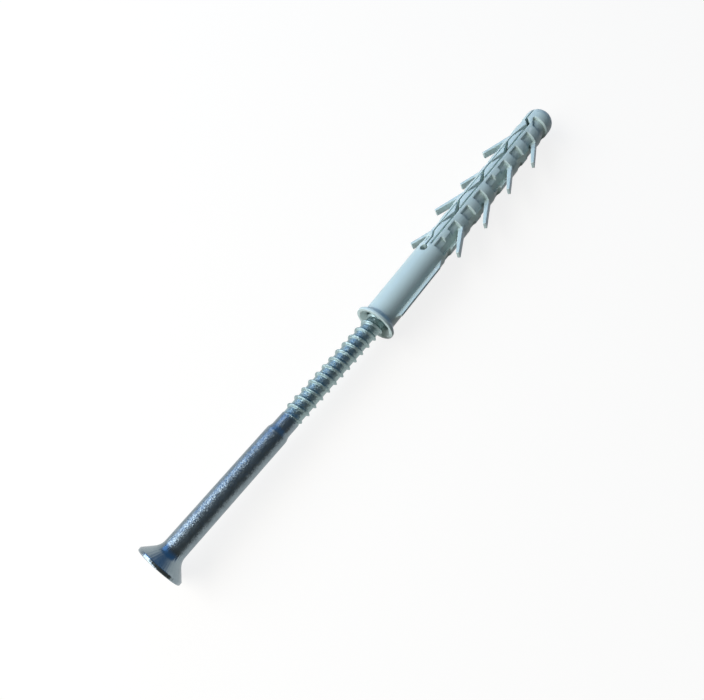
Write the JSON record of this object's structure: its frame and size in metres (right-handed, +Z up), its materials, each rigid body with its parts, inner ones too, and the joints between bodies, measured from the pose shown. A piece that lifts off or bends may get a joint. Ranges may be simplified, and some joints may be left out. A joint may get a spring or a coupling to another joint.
{
  "type": "frame fixing plug",
  "caption": "Countersunk coarse-thread screw started in a grey moulded expansion plug with a collar, sleeve fins, a zigzag slot and spread barbs, lying at rest.",
  "frame": {"origin": "on the resting surface, under the middle of the fixing's box", "axes": "+X along the plug towards its tip, +Z up, the fixing lying as it comes to rest"},
  "size_m": [0.1932, 0.0206, 0.0142],
  "materials": {
    "plug_plastic": "moulded light grey polyamide, satin",
    "zinc_steel": "bright zinc plated steel, finely speckled"
  },
  "bodies": {
    "root": {"expansion_plug": "plug_plastic", "countersunk_screw": "zinc_steel"}
  },
  "joints": []
}
